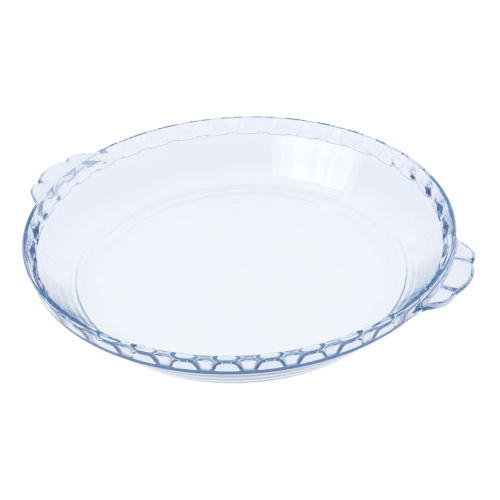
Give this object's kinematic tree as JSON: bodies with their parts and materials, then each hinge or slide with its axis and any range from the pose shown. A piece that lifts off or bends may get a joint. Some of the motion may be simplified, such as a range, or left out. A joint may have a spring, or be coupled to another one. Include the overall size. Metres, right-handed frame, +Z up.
{
  "type": "pie dish",
  "caption": "Round clear pressed-glass pie dish with a flat floor, sloping wall, upright crimped collar and two opposite lobed tab handles, for baking and serving pies.",
  "frame": {"origin": "under the middle of the base, on the plane that the foot ring rests on", "axes": "+Z up, out of the dish; +X through the middle of one handle"},
  "size_m": [0.269, 0.2404, 0.039],
  "materials": {
    "glass": "clear pressed glass with a faint blue tint, fire-polished"
  },
  "bodies": {
    "root": {"glass_dish": "glass"}
  },
  "joints": []
}
